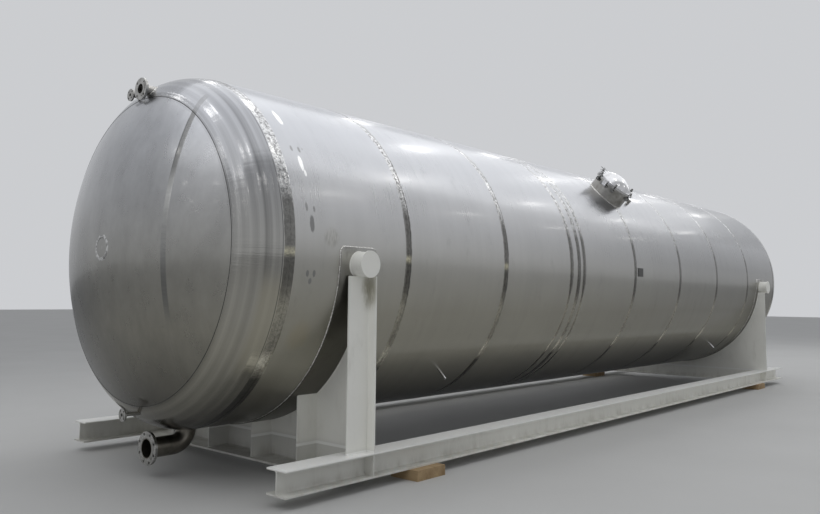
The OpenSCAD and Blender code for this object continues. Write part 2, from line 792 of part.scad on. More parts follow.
module underside_rods() {
    color([0.80, 0.80, 0.80]) on_axis() for (x = [seam_x(1) + rod_front, seam_x(6) + rod_rear]) {
        difference() {
            translate([x, 0, 0]) rotate([135, 0, 0]) translate([0, 0, shell_r - 4])
                cylinder(r = rod_r, h = rod_l + 4, $fn = 24);
            along_x(x - 50, x + 50, shell_r, 360);
        }
    }
}

shell_course(1);  // shell_course_1
shell_course(2);  // shell_course_2
shell_course(3);  // shell_course_3
shell_course(4);  // shell_course_4
shell_course(5);  // shell_course_5
shell_course(6);  // shell_course_6
shell_course(7);  // shell_course_7
shell_course(8);  // shell_course_8
front_knuckle();
front_crown();
crown_patch();
rear_knuckle();
rear_crown();
shell_seams();
head_seams();
wear_plates();
saddle_web(-1);  // front_saddle_web
saddle_web(1);  // rear_saddle_web
saddle_ribs(-1);  // front_saddle_ribs
saddle_ribs(1);  // rear_saddle_ribs
saddle_base(-1);  // front_saddle_base
saddle_base(1);  // rear_saddle_base
trunnion_pipes();
trunnion_caps();
rail(-1);  // near_rail
rail(1);  // far_rail
rail_stiffeners();
timber_blocks();
vent_pipe();
vent_flange();
small_pipes();
small_flanges();
drain_pipe();
drain_elbow();
drain_stub();
drain_flange();
manway_neck();
manway_flange();
manway_cover();
manway_lugs();
swing_bolts();
cover_handle();
top_coupling();
bare_plate();
underside_rods();
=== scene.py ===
import math
import bpy
from mathutils import Matrix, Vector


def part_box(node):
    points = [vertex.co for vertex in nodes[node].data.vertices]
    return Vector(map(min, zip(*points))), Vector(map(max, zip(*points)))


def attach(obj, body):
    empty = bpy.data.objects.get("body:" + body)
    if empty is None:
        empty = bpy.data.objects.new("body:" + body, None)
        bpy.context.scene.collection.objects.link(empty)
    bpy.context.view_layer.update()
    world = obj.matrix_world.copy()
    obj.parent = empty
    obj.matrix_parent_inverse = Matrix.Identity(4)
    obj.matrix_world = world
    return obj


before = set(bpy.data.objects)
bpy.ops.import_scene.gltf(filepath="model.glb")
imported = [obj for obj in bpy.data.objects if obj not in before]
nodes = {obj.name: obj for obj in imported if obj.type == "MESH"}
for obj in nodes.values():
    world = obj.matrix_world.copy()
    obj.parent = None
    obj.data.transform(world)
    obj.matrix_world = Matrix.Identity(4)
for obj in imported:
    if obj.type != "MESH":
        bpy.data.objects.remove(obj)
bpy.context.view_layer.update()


# Shell courses. The barrel is eight rings rolled from cold finished stainless plate and welded
# end to end. The plate keeps its satin mill finish, with handling marks, and a strip beside
# each seam is ground by hand.
class Shade:
    """A socket of a material, with the sums that a finish needs written as plain arithmetic."""

    def __init__(self, tree, socket=None):
        self.tree = tree
        self.socket = socket

    def node(self, kind, values=(), out=0, stops=None, **settings):
        made = self.tree.nodes.new("ShaderNode" + kind)
        for key, value in settings.items():
            setattr(made, key, value)
        if stops:
            ramp = made.color_ramp.elements
            ramp.remove(ramp[1])
            ramp[0].position = stops[0][0]
            for place, colour in stops[1:]:
                ramp.new(place)
            for element, (place, colour) in zip(ramp, stops):
                element.color = (*colour, 1)
        for key, value in dict(values).items():
            if isinstance(value, Shade):
                self.tree.links.new(value.socket, made.inputs[key])
            else:
                made.inputs[key].default_value = value
        return Shade(self.tree, made.outputs[out])

    def sums(self, operation, *terms):
        return self.node("Math", enumerate(terms), operation=operation)

    def __add__(self, other):
        return self.sums("ADD", self, other)

    def __sub__(self, other):
        return self.sums("SUBTRACT", self, other)

    def __rsub__(self, other):
        return self.sums("SUBTRACT", other, self)

    def __mul__(self, other):
        return self.sums("MULTIPLY", self, other)

    def __truediv__(self, other):
        return self.sums("DIVIDE", self, other)

    __radd__ = __add__
    __rmul__ = __mul__

    def away(self, place):
        """Distance of this value from a place."""
        return self.sums("ABSOLUTE", self - place)

    def fade(self, start, end):
        """0 at start and 1 at end, with a soft change between them."""
        return self.node("MapRange", {"Value": self, "From Min": start, "From Max": end},
                         interpolation_type="SMOOTHSTEP")

    def band(self, low, high, soft):
        """1 between two values, with soft ends."""
        return self.fade(low - soft, low + soft) * self.fade(high + soft, high - soft)

    def most(self, other):
        return self.sums("MAXIMUM", self, other)

    def least(self, other):
        return self.sums("MINIMUM", self, other)

    def ramp(self, *stops):
        """The colour that these stops give at this value."""
        return self.node("ValToRGB", {0: self}, stops=stops)

    def shaded(self, value):
        """This colour, darker or lighter by a value near 1."""
        return self.node("VectorMath", {0: self, 3: value}, operation="SCALE")

    def mix(self, low, high):
        """The colour low where this mask is 0, and high where it is 1."""
        made = self.tree.nodes.new("ShaderNodeMix")
        made.data_type = "RGBA"
        self.tree.links.new(self.socket, made.inputs[0])
        for socket, colour in ((made.inputs[6], low), (made.inputs[7], high)):
            if isinstance(colour, Shade):
                self.tree.links.new(colour.socket, socket)
            else:
                socket.default_value = (*colour, 1)
        return Shade(self.tree, made.outputs[2])


class Finish(Shade):
    """A new material, its surface shader, and the coordinates its patterns read."""

    def __init__(self, name, metallic=1.0, **constants):
        self.material = bpy.data.materials.new(name)
        self.material.use_nodes = True
        super().__init__(self.material.node_tree)
        self.shader = self.tree.nodes["Principled BSDF"]
        self.shader.inputs["Metallic"].default_value = metallic
        for key, value in constants.items():
            self.shader.inputs[key.replace("_", " ")].default_value = value
        self.place = self.node("TexCoord", out=3)
        self.x, self.y, self.z = (self.node("SeparateXYZ", {0: self.place}, out=i) for i in range(3))
        self.up = (self.z - axis_h) / shell_r

    def noise(self, scale, detail=3, stretch=(1, 1, 1), roughness=0.55, place=None):
        """Noise from 0 to 1, with this many features a metre, stretched along the axes."""
        mapped = self.node("Mapping", {"Vector": place or self.place, "Scale": stretch})
        return self.node("TexNoise", {"Vector": mapped, "Scale": scale, "Detail": detail,
                                      "Roughness": roughness})

    def near(self, centre, size):
        """Distance from a centre, where 1 is half the size."""
        offset = self.node("VectorMath", {0: self.place, 1: centre}, operation="SUBTRACT")
        halves = tuple(2 / side for side in size)
        scaled = self.node("VectorMath", {0: offset, 1: halves}, operation="MULTIPLY")
        return self.node("VectorMath", {0: scaled}, out=1, operation="LENGTH")

    def set(self, **sockets):
        for key, value in sockets.items():
            self.tree.links.new(value.socket, self.shader.inputs[key.replace("_", " ")])

    def bump(self, height):
        """Relief, its height in millimetres."""
        self.set(Normal=self.node("Bump", {"Height": height, "Distance": 0.001}))

    def wear_by(self, *names):
        """Dresses these CAD nodes in the finish."""
        for name in names:
            piece = nodes[name]
            piece.data.materials.clear()
            piece.data.materials.append(self.material)


front_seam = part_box("shell_course_1")[0].x
first_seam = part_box("shell_course_1")[1].x
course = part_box("shell_course_2")[1].x - first_seam
rear_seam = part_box("shell_course_8")[1].x
shell_r = (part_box("shell_course_3")[1].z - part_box("shell_course_3")[0].z) / 2
axis_h = (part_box("shell_course_3")[1].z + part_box("shell_course_3")[0].z) / 2
third_seam = first_seam + 2 * course
lesser_seams = (third_seam - 0.172, third_seam + 0.128)

# Painted shade darkens the plate to the rear: the front painted light gives way to the rear one between these
# places
FRONT_LIGHT_END, REAR_SHADE_START = -5.0, 4.2


def by_angle(t, colour):
    """A stop of a colour ramp, t degrees above the middle height of the barrel."""
    return (math.sin(math.radians(t)) + 1) / 2, colour


def lit_steel(t, grey):
    """Steel at t degrees with painted reflections: a little blue where it faces the roof, and warm where it
    faces the floor.
    """
    warm = min(max((10 - t) / 30, 0), 1)
    cool = min(max((t - 10) / 30, 0), 1)
    return by_angle(t, (grey * (1 + 0.04 * warm - 0.02 * cool), grey, grey * (1 - 0.15 * warm + 0.05 * cool)))


# Painted light on the plate: lighter where it faces the roof and darker towards the floor, for the front and
# the rear halves
FRONT_PAINTED_LIGHT = [lit_steel(*stop) for stop in (
    (-66, 0.10), (-52, 0.25), (-38, 0.42), (-20, 0.38), (-3, 0.46), (12, 0.54), (21, 0.52), (32, 0.46),
    (45, 0.47), (60, 0.54), (78, 0.84))]
REAR_PAINTED_LIGHT = [lit_steel(*stop) for stop in (
    (-66, 0.08), (-52, 0.14), (-36, 0.32), (-20, 0.21), (-3, 0.30), (6, 0.26), (22, 0.42), (32, 0.29),
    (60, 0.24), (78, 0.40))]
# Painted light on the ground seams: highlights up high, shade at mid height and a pale reflection low down
SEAM_PAINTED_LIGHT = [by_angle(*stop) for stop in (
    (-50, (0.06, 0.057, 0.048)), (-42, (0.10, 0.095, 0.08)), (-39, (0.64, 0.61, 0.52)),
    (-35, (0.60, 0.57, 0.48)), (-31, (0.28, 0.265, 0.22)), (-18, (0.34, 0.325, 0.265)),
    (-11, (0.13, 0.125, 0.11)), (13, (0.16, 0.158, 0.15)), (18, (0.64, 0.64, 0.63)),
    (60, (0.78, 0.78, 0.78)))]
# A pale straw colour at mid height, on the seams of the front half
STRAW = (0.74, 0.70, 0.50)
STRAW_FROM, STRAW_FULL = -1.5, -3.0
# Half width of a ground strip, the undercut line's distance from the seam's middle, and the half
# width of the strip at the front seam
GROUND_STRIP = 0.044
UNDERCUT = 0.027
FRONT_STRIP = 0.024


def hammered(finish):
    """The uneven surface that a hand grinder leaves along a seam."""
    return finish.noise(34, 3, (1, 1, 1), 0.7)


def seam_colour_and_light(finish):
    """Mottled, with a painted highlight where a seam faces the roof lamps, painted shade at mid height, and a
    pale painted reflection low down.
    """
    level = (finish.up + 1) / 2
    mottle = (hammered(finish) + finish.noise(85, 2, (1, 1, 1), 0.7) * 0.6 - 0.3).fade(0.36, 0.62)
    highlight_side = finish.up.fade(0.20, 0.30)
    shade = (0.78 + mottle * 0.44) * (1 - highlight_side) + highlight_side * (0.30 + mottle * 0.66)
    straw_patch = finish.up.away(-0.03).fade(0.035, 0.0) * finish.x.fade(STRAW_FROM, STRAW_FULL)
    return (straw_patch * (0.35 + mottle * 0.35)).mix(level.ramp(*SEAM_PAINTED_LIGHT).shaded(shade), STRAW)


plate = Finish("rolled_plate", Coat_Weight=0.35, Coat_Roughness=0.10)
level = (plate.up + 1) / 2
base = plate.x.fade(FRONT_LIGHT_END, REAR_SHADE_START).mix(level.ramp(*FRONT_PAINTED_LIGHT), level.ramp(*REAR_PAINTED_LIGHT))
cloud = plate.noise(1.7, 5, (1, 1, 1.3), 0.6)
bands = plate.noise(8, 3, (1, 0.04, 0.04))
fine = plate.noise(95, 2, (1, 0.02, 0.02))
smudge = plate.noise(5, 5, (1.2, 0.5, 0.5), 0.65).fade(0.56, 0.74)
base = base.shaded(0.82 + cloud * 0.18 + bands * 0.14 + fine * 0.04 - smudge * 0.10)

# A brown stain low on the first course
STAIN_CENTRE = (-5.75, -1.36, axis_h - 0.69)
STAIN_SIZE = (0.30, 0.6, 0.34)
STAIN = (0.42, 0.37, 0.25)
stain = plate.near(STAIN_CENTRE, STAIN_SIZE).fade(1.0, 0.3) * cloud.fade(0.3, 0.6)
base = (stain * 0.45).mix(base, STAIN)

ragged = plate.noise(18, 3, (1, 1, 1), 0.6) * 0.024 - 0.012
courses_on = (plate.x - first_seam) / course
offset = (plate.sums("FRACT", courses_on + 0.5) - 0.5) * course
beside = offset.away(0)
ground = (beside + ragged).fade(GROUND_STRIP, GROUND_STRIP - 0.008)
for place in lesser_seams:
    strip = (plate.x.away(place) + ragged).fade(GROUND_STRIP, GROUND_STRIP - 0.008)
    ground = ground.most(strip * plate.up.fade(-0.22, -0.10))
ground = ground.most((plate.x.away(front_seam) + ragged * 0.6).fade(FRONT_STRIP, FRONT_STRIP - 0.006))
base = (ground * 0.88).mix(base, seam_colour_and_light(plate))
undercut = (offset + ragged * 0.3).away(UNDERCUT).fade(0.008, 0.003) * plate.up.band(-0.35, 0.80, 0.15)
base = base.shaded(1 - undercut * 0.62)

# Spots rubbed on the first course, each with its place along the barrel and its angle above the
# middle height in degrees, its length and height, and its grey
RUBS = (
    (-5.783, 44.6, 0.060, 0.160, 0.98), (-5.769, 26.0, 0.045, 0.150, 0.98),
    (-5.752, 22.6, 0.030, 0.060, 0.98), (-5.817, 31.0, 0.030, 0.055, 0.26),
    (-5.739, 31.0, 0.030, 0.055, 0.24), (-5.806, 11.7, 0.030, 0.075, 0.28),
    (-5.731, 11.2, 0.026, 0.055, 0.28), (-5.764, 6.7, 0.052, 0.150, 0.19),
    (-5.800, -7.7, 0.034, 0.060, 0.24), (-5.733, -7.7, 0.034, 0.060, 0.24),
    (-5.767, -9.9, 0.036, 0.055, 0.26), (-5.700, 31.5, 0.016, 0.020, 0.30))
scuffed = plate.noise(60, 2, (1, 1, 0.4), 0.7)
for along, angle, length, height, grey in RUBS:
    t = math.radians(angle)
    spot = plate.near((along, -shell_r * math.cos(t), axis_h + shell_r * math.sin(t)), (length, 0.5, height))
    base = ((spot + scuffed * 0.5).fade(1.25, 1.0) * 0.85).mix(base, (grey, grey, grey * 0.98))

# A disc grinder ran out on the plate in front of the wear plate's upper corner
GRIND_CENTRE = (-5.565, -1.52, axis_h + 0.085)
GRIND_SIZE = (0.20, 0.5, 0.20)
GRIND_DARK, GRIND_PALE = (0.22, 0.21, 0.18), (0.52, 0.51, 0.47)
hatch = plate.noise(150, 1, (1, 1, 0.10), 0.5).fade(0.36, 0.66)
grind = plate.near(GRIND_CENTRE, GRIND_SIZE).fade(1.0, 0.45)
base = (grind * 0.42).mix(base, hatch.mix(GRIND_DARK, GRIND_PALE))

plate.set(Base_Color=base,
          Roughness=0.235 + cloud * 0.08 + fine.fade(0.3, 0.7) * 0.04 + plate.up.fade(0.15, -0.25) * 0.12)
plate.bump(fine * 0.2 + bands * 0.6 + cloud * 1.4 + ground * hammered(plate) * 1.6)
plate.wear_by(*(name for name in nodes if name.startswith("shell_course")))


# Dished ends. Each is a pressed crown plate inside a spun knuckle ring, welded and ground flush.
# A straight joint crosses the front crown, and a small patch closes its centre.
# Painted light on the ends: lighter up high and darker towards the floor; on the joint across the crown, a
# painted highlight a little above the middle
END_PAINTED_LIGHT = [lit_steel(*stop) for stop in (
    (-75, 0.04), (-50, 0.12), (-25, 0.23), (-5, 0.27), (15, 0.30), (35, 0.35), (60, 0.45))]
KNUCKLE_PAINTED_LIGHT = [lit_steel(*stop) for stop in (
    (-75, 0.16), (-50, 0.26), (-30, 0.36), (-5, 0.39), (20, 0.30), (45, 0.34), (65, 0.42))]
CHORD_PAINTED_LIGHT = [((up + 1) / 2, (grey, grey, grey * 0.97)) for up, grey in (
    (-0.35, 0.15), (-0.20, 0.16), (-0.05, 0.22), (0.13, 0.33), (0.26, 0.50), (0.34, 0.30), (0.40, 0.15),
    (0.75, 0.17))]
# The straight joint across the front crown: its distance from the middle and its half width
CHORD_Y = -0.75
CHORD_HALF = 0.028
KNUCKLE_R = 0.442
# Spacing of the shallow waves that the spinning rolls left along the knuckle
WAVE = 0.083
# Places on a knuckle, as distances out from its seam to the shell
STRIP_END = 0.080
EDGE_LINE = 0.087
TINT_FROM, TINT_TO = 0.05, 0.22
STREAKS_FROM, STREAKS_TO = 0.166, 0.217
HEAD_TINT = (0.46, 0.43, 0.33)
JOINT_DARK = (0.03, 0.03, 0.028)
EDGE_DARK = (0.08, 0.08, 0.078)
PATCH_DARK, PATCH_PALE = (0.17, 0.17, 0.165), (0.66, 0.66, 0.65)
patch_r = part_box("crown_patch")[1].y
crown_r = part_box("front_crown")[1].y

head = Finish("spun_end", Coat_Roughness=0.08)
out = head.x.away(0.0) - rear_seam
along = head.sums("ARCSINE", (out / KNUCKLE_R).least(0.99)) * KNUCKLE_R
wave = head.sums("SINE", (along - 0.14) * (2 * math.pi / WAVE))
level = (head.up + 1) / 2
radius = head.sums("SQRT", head.sums("POWER", head.y, 2.0) + head.sums("POWER", head.z - axis_h, 2.0))
meridian = head.node("CombineXYZ", {0: radius, 1: head.x * 0.9, 2: 0.0})
centred = head.node("CombineXYZ", {0: 0.0, 1: head.y, 2: head.z - axis_h})
spoke = head.node("VectorMath", {0: centred}, operation="NORMALIZE")
rings = head.noise(30, 3, place=meridian)
fine_rings = head.noise(130, 2, place=meridian)
spokes = head.noise(26, 3, place=spoke)
knuckle_zone = radius.fade(crown_r - 0.01, crown_r + 0.03)
smear = head.noise(1.9, 5, (1, 1, 0.6), 0.62)
blotch = head.noise(7, 5, (1, 1, 0.7), 0.65)
# Painted shade on the lower half of the far side, and painted light on the near side
far_low_shade = head.y.fade(-0.3, 1.1) * head.up.fade(0.40, -0.35)
near_side_light = head.y.fade(0.1, -0.9) * 0.18
handled = head.noise(3.2, 6, (1, 1.5, 0.5), 0.7)
shade = 0.36 + smear * 0.52 + blotch * 0.36 + handled * 0.40 - far_low_shade * 0.88 + near_side_light
crown_base = level.ramp(*END_PAINTED_LIGHT).shaded(shade)
shade = 0.58 + smear * 0.2 + rings * 0.38 + fine_rings * 0.22 + wave * 0.10
knuckle_base = level.ramp(*KNUCKLE_PAINTED_LIGHT).shaded(shade)
streaks = out.band(STREAKS_FROM, STREAKS_TO, 0.012) * head.up.band(-0.17, 0.86, 0.1) * rings.fade(0.35, 0.6)
knuckle_base = knuckle_base.shaded(1 - streaks * 0.35)
tint = out.band(TINT_FROM, TINT_TO, 0.03) * head.up.band(-0.62, -0.17, 0.07)
knuckle_base = (tint * 0.5).mix(knuckle_base, HEAD_TINT)
# Painted shadow: the knuckle is darker at the bottom, near the shell
knuckle_base = knuckle_base.shaded(1 - out.fade(0.29, 0.24) * head.up.fade(-0.60, -0.70) * 0.15)
base = knuckle_zone.mix(crown_base, knuckle_base)
chord = head.y.away(CHORD_Y).fade(CHORD_HALF, CHORD_HALF - 0.006) * head.up.fade(-0.42, -0.24)
chord = chord * head.x.fade(0, -1) * out.fade(0.25, 0.30) * (1 - knuckle_zone * 0.55)
hatching = head.noise(34, 3, (0.4, 0.2, 1), 0.6)
base = (chord * 0.85).mix(base, level.ramp(*CHORD_PAINTED_LIGHT).shaded(0.75 + hatching * 0.5))
ring_lines = radius.away(crown_r).fade(0.026, 0.004) * head.up.fade(-0.1, 0.3) * fine_rings.fade(0.45, 0.6)
joint_line = radius.away(crown_r - 0.003).fade(0.0040, 0.0026)
base = (joint_line.most(ring_lines * 0.45) * 0.92).mix(base, JOINT_DARK)
patch_ring = radius.away(patch_r + 0.002).fade(0.018, 0.012) * out.fade(0.5, 0.6)
base = (patch_ring * 0.8).mix(base, hammered(head).fade(0.4, 0.6).mix(PATCH_DARK, PATCH_PALE))
torn = head.noise(18, 3, (1, 1, 1), 0.6) * 0.014 - 0.007
head_ground = (out + torn).fade(STRIP_END, STRIP_END - 0.006)
base = (head_ground * 0.88).mix(base, seam_colour_and_light(head))
edge_line = out.away(EDGE_LINE).fade(0.005, 0.002) * head.up.band(-0.57, 0.76, 0.05)
base = (edge_line * 0.75).mix(base, EDGE_DARK)
head.set(Base_Color=base, Roughness=0.25 + blotch * 0.06 - knuckle_zone * (0.09 - rings * 0.06),
         Coat_Weight=0.4 - far_low_shade * 0.36)
head.bump(knuckle_zone * (spokes * 1.8 + rings * 0.5 + wave * 1.1) * out.fade(0.06, 0.10)
          + head_ground * hammered(head) * 1.6)
head.wear_by("front_knuckle", "front_crown", "crown_patch", "rear_knuckle", "rear_crown", "head_seams")


# Welds of the vessel. Beads of stainless filler, ground over by hand and hammered looking, with painted
# highlights where they face the roof lamps, painted shade at mid height and a pale painted reflection low
# down.
# The fillets round the nozzles are left as laid.
weld = Finish("ground_weld")
weld.set(Base_Color=seam_colour_and_light(weld), Roughness=0.18 + weld.noise(16, 3) * 0.12)
weld.bump(hammered(weld) * 1.6)
weld.wear_by("shell_seams")

laid = Finish("laid_bead")
ripple = laid.noise(110, 2)
BEAD_DARK, BEAD_PALE = (0.34, 0.33, 0.30), (0.78, 0.775, 0.75)
laid.set(Base_Color=ripple.fade(0.35, 0.65).mix(BEAD_DARK, BEAD_PALE), Roughness=0.18 + ripple * 0.14)
laid.bump(ripple * 0.8)


def around(place):
    """Distance of a point from the barrel's centre line."""
    return math.hypot(place.y, place.z - axis_h)


# A bead can follow an edge that turns by more than this
SHARP = math.radians(30)
# Points nearer than this are one point
SAME_POINT = 0.00005
# Points round a ring shaped weld
RING_POINTS = 72


def lay_bead(bead, half, finish):
    """Makes a bead, half wide to each side, along the edges of a wire mesh."""
    bpy.ops.object.convert(target="CURVE")
    bead.data.bevel_depth = half
    bead.data.bevel_resolution = 2
    bead.data.use_fill_caps = True
    bpy.ops.object.convert(target="MESH")
    bpy.ops.object.shade_smooth()
    bead.data.materials.clear()
    bead.data.materials.append(finish.material)
    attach(bead, "root")


def fillet(name, node, half, follows, finish=laid):
    """A weld bead along the sharp edges of a piece that follow a joint."""
    bead = bpy.data.objects.new(name, nodes[node].data.copy())
    bpy.context.scene.collection.objects.link(bead)
    bpy.ops.object.select_all(action="DESELECT")
    bead.select_set(True)
    bpy.context.view_layer.objects.active = bead
    bpy.ops.object.mode_set(mode="EDIT")
    bpy.ops.mesh.select_mode(type="EDGE")
    bpy.ops.mesh.select_all(action="SELECT")
    bpy.ops.mesh.remove_doubles(threshold=SAME_POINT)
    bpy.ops.mesh.select_all(action="DESELECT")
    bpy.ops.mesh.edges_select_sharp(sharpness=SHARP)
    bpy.ops.object.mode_set(mode="OBJECT")
    mesh = bead.data
    kept = [edge.index for edge in mesh.edges
            if edge.select and all(follows(mesh.vertices[end].co) for end in edge.vertices)]
    for part in (mesh.vertices, mesh.edges, mesh.polygons):
        part.foreach_set("select", [False] * len(part))
    for index in kept:
        mesh.edges[index].select = True
    bpy.ops.object.mode_set(mode="EDIT")
    bpy.ops.mesh.select_all(action="INVERT")
    bpy.ops.mesh.delete(type="EDGE")
    bpy.ops.object.mode_set(mode="OBJECT")
    lay_bead(bead, half, finish)


def ring_weld(name, radius, half, seat):
    """The bead round a pipe, where seat gives the place on the wall for a point of the pipe's circle."""
    bpy.ops.object.select_all(action="DESELECT")
    bpy.ops.mesh.primitive_circle_add(vertices=RING_POINTS, radius=radius)
    bead = bpy.context.object
    bead.name = name
    for point in bead.data.vertices:
        point.co = seat(point.co.x, point.co.y)
    lay_bead(bead, half, laid)


def on_barrel(x, side, lean):
    """The place on the barrel at a distance to the side of a line that leans from the vertical."""
    rise = math.sqrt(shell_r ** 2 - side ** 2)
    return (x, side * math.cos(lean) - rise * math.sin(lean),
            axis_h + side * math.sin(lean) + rise * math.cos(lean))


def on_front_end(y, z):
    """The place on the front knuckle at this breadth and height."""
    drop = shell_r - math.hypot(y, z - axis_h)
    reach = math.sqrt(1 - (1 - drop / KNUCKLE_R) ** 2) * KNUCKLE_R
    return front_seam - reach, y, z


# Half width of a bead
BEAD = 0.009
# A point this near to a surface lies on it
TOUCH = 0.004

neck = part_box("manway_neck")
neck_x = (neck[0].x + neck[1].x) / 2
neck_r = (neck[1].x - neck[0].x) / 2
MANWAY_LEAN = math.radians(45)
ring_weld("manway_neck_weld", neck_r, BEAD, lambda u, v: on_barrel(neck_x + u, v, MANWAY_LEAN))
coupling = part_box("top_coupling")
coupling_r = (coupling[1].x - coupling[0].x) / 2
coupling_y = (coupling[0].y + coupling[1].y) / 2
coupling_z = (coupling[0].z + coupling[1].z) / 2
COUPLING_LEAN = math.atan2(-coupling_y, coupling_z - axis_h)
ring_weld("top_coupling_weld", coupling_r, BEAD * 0.6,
          lambda u, v: on_barrel(coupling[0].x + coupling_r + u, v, COUPLING_LEAN))
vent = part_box("vent_pipe")
vent_r = (vent[1].y - vent[0].y) / 2
ring_weld("vent_pipe_weld", vent_r, BEAD * 0.7,
          lambda u, v: on_front_end((vent[0].y + vent[1].y) / 2 + u, (vent[0].z + vent[1].z) / 2 + v))
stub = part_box("drain_stub")
stub_x = (stub[0].x + stub[1].x) / 2
stub_r = (stub[1].x - stub[0].x) / 2
ring_weld("drain_stub_weld", stub_r, BEAD * 0.8, lambda u, v: on_barrel(stub_x + u, v, math.pi))
fillet("wear_plate_welds", "wear_plates", BEAD, lambda point: around(point) < shell_r + TOUCH)


# Wear plates. Bent stainless plates between the shell and each saddle, seal welded all round.
# They came from another plate, duller and browner than the shell, and carry grease from the saddle.
wear = Finish("bent_plate")
level = (wear.up + 1) / 2
grime = wear.noise(6, 5, (1, 1, 0.5), 0.65)
# Painted light: the plate is lighter from mid height up, and in painted shade below
WEAR_PAINTED_LIGHT = [lit_steel(*stop) for stop in ((-60, 0.10), (-30, 0.16), (-10, 0.20), (-3, 0.42), (10, 0.44))]
GRIME = (0.11, 0.103, 0.085)
base = level.ramp(*WEAR_PAINTED_LIGHT).shaded(0.85 + grime * 0.3)
base = (grime.fade(0.45, 0.72) * 0.6).mix(base, GRIME)
wear.set(Base_Color=base, Roughness=0.30 + grime * 0.15)
wear.bump(grime * 0.4)
wear.wear_by("wear_plates")


# Stand. Saddle webs, ribs, base plates and trunnions of carbon steel, and a pair of rolled
# rails, welded together and brushed with an off white primer.
STAND_NODES = ("front_saddle_web", "rear_saddle_web", "front_saddle_ribs", "rear_saddle_ribs",
               "front_saddle_base", "rear_saddle_base", "trunnion_pipes", "trunnion_caps",
               "near_rail", "far_rail", "rail_stiffeners")
PAINT_CLEAN, PAINT_THIN = (0.90, 0.895, 0.845), (0.83, 0.825, 0.77)
# Painted light: the rails' top faces are paler, as lit from above
LIT_TOP_CLEAN, LIT_TOP_THIN = (0.95, 0.95, 0.92), (0.88, 0.88, 0.85)
PAINT_DIRT = (0.52, 0.505, 0.45)
FOOT_DIRT = (0.40, 0.37, 0.31)
GREASE = (0.33, 0.31, 0.23)
# Grease ran down the near front post from its trunnion
GREASE_CENTRE = (-5.20, -1.58, 1.58)
GREASE_SIZE = (0.16, 0.18, 0.42)
# Painted shade on the rails grows from here to the front
SHADE_FROM, SHADE_FULL = -2.5, -6.0
rail_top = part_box("near_rail")[1].z
# Dirt splashed up from the floor fades out between these heights
SPLASH_TOP, SPLASH_FULL = 0.20, 0.09

paint = Finish("stand_primer", metallic=0.0, IOR=1.45)
coat = paint.noise(3, 4)
brush = paint.noise(60, 3, (0.08, 1, 1))
dirt = paint.noise(8, 5, (1, 1, 0.35), 0.65)
base = (dirt.fade(0.5, 0.8) * 0.30).mix(coat.mix(PAINT_CLEAN, PAINT_THIN), PAINT_DIRT)
foot = paint.z.fade(SPLASH_TOP, SPLASH_FULL) * dirt.fade(0.3, 0.7)
base = (foot * 0.4).mix(base, FOOT_DIRT)
# Painted shade: the rails below their tops are darker towards the front
rail_shade = paint.z.fade(rail_top + 0.057, rail_top - 0.013) * paint.x.fade(SHADE_FROM, SHADE_FULL)
base = base.shaded(1 - rail_shade * 0.26)
# Painted light on the top faces of the rails
lit_top_face = paint.z.band(rail_top - 0.007, rail_top + 0.017, 0.004)
base = lit_top_face.mix(base, coat.mix(LIT_TOP_CLEAN, LIT_TOP_THIN))
grease = paint.near(GREASE_CENTRE, GREASE_SIZE).fade(1.0, 0.3) * dirt.fade(0.35, 0.55)
base = (grease * 0.85).mix(base, GREASE)
paint.set(Base_Color=base, Roughness=0.42 + dirt * 0.2)
paint.bump(brush * 0.2 + coat * 0.4)
paint.wear_by(*STAND_NODES)

wear_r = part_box("wear_plates")[1].y
base_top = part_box("front_saddle_base")[1].z
# A point this near to a flat face lies in it
FLUSH = 0.001


def on_vessel_or_base(point):
    """Whether a point of a web lies against the wear plate, or no higher than the base plate's top."""
    return around(point) < wear_r + TOUCH or point.z < base_top + FLUSH


def on_web_or_base(point, web):
    """Whether a point of a rib lies in a face of its web, or on the base plate."""
    return min(abs(point.x - web[0].x), abs(point.x - web[1].x), abs(point.z - base_top)) < FLUSH


for end in ("front", "rear"):
    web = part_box(end + "_saddle_web")
    fillet(end + "_web_welds", end + "_saddle_web", BEAD * 0.8, on_vessel_or_base, paint)
    fillet(end + "_rib_welds", end + "_saddle_ribs", BEAD * 0.7,
           lambda point: on_web_or_base(point, web), paint)
fillet("trunnion_welds", "trunnion_pipes", BEAD * 0.8,
       lambda point: around(point) < wear_r + 1.5 * TOUCH, paint)


# Timber blocks. Four short lengths of rough sawn softwood. They lie loose under the rails, a
# little way in from each saddle, and the tank's weight holds them.
WOOD_DARK, WOOD_PALE = (0.27, 0.18, 0.09), (0.42, 0.30, 0.165)
SAW_MARK = (0.20, 0.13, 0.065)
timber = Finish("sawn_softwood", metallic=0.0)
grain = timber.noise(9, 5, (1, 0.12, 1), 0.6)
rays = timber.noise(90, 2, (1, 0.05, 1))
base = (rays.fade(0.5, 0.8) * 0.4).mix(grain.fade(0.3, 0.7).mix(WOOD_DARK, WOOD_PALE), SAW_MARK)
timber.set(Base_Color=base, Roughness=0.7 + rays * 0.2)
timber.bump(rays * 1.4 + grain * 1.2)
timber.wear_by("timber_blocks")


# Pipes. Short stubs of drawn stainless pipe, cut square and welded through the wall. The neck
# of the manway, a wide and short pipe, has the same finish.
PIPE_PALE, PIPE_DARK = (0.46, 0.45, 0.43), (0.24, 0.23, 0.21)
tube = Finish("drawn_pipe")
scuff = tube.noise(12, 4, (1, 0.6, 0.6), 0.6)
tube.set(Base_Color=scuff.fade(0.35, 0.75).mix(PIPE_PALE, PIPE_DARK), Roughness=0.24 + scuff * 0.2)
tube.bump(scuff * 0.4)
tube.wear_by("vent_pipe", "small_pipes", "manway_neck", "top_coupling")


